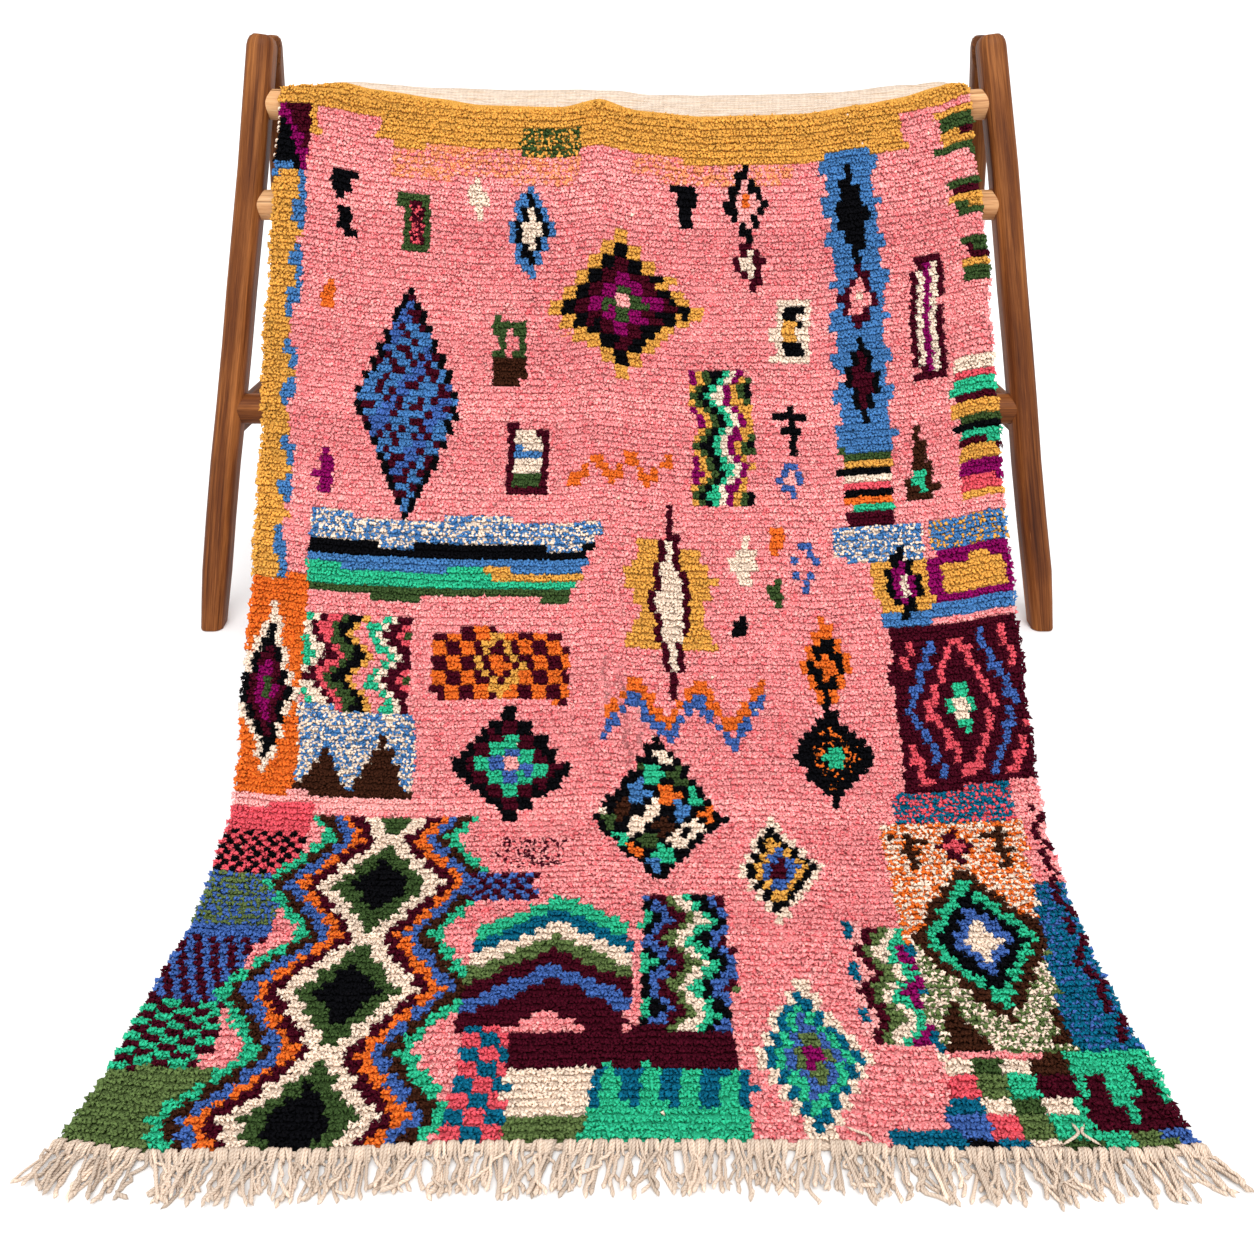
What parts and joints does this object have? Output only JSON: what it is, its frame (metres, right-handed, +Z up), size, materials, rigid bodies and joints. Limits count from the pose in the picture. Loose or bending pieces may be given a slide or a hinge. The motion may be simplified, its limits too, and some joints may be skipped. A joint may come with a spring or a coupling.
{
  "type": "boujaad pile rug on a wooden ladder stand",
  "caption": "Hand-knotted pile rug with traditional motifs and a fringed hem, draped over the top rung of a freestanding wooden ladder stand and running out onto the floor.",
  "frame": {"origin": "middle of the footprint, on the floor", "axes": "+Z up, +Y from the fringed hem towards the back of the stand, +X to the right seen from the hem"},
  "size_m": [1.9588, 2.4954, 1.264],
  "materials": {
    "pile_wool": "hand-knotted wool pile, matt, rose ground with many dyed motifs",
    "fringe_yarn": "undyed plied wool, matt",
    "leg_wood": "warm brown hardwood, oiled, satin",
    "rung_wood": "pale tan turned wood, satin"
  },
  "bodies": {
    "root": {"rug": "pile_wool", "fringe": "fringe_yarn", "leg_front_left": "leg_wood", "leg_front_right": "leg_wood", "leg_rear_left": "leg_wood", "leg_rear_right": "leg_wood", "stretcher_left": "leg_wood", "stretcher_right": "leg_wood", "rung_top": "rung_wood", "rung_middle": "rung_wood", "rung_lower": "leg_wood", "rung_rear": "rung_wood"}
  },
  "joints": []
}
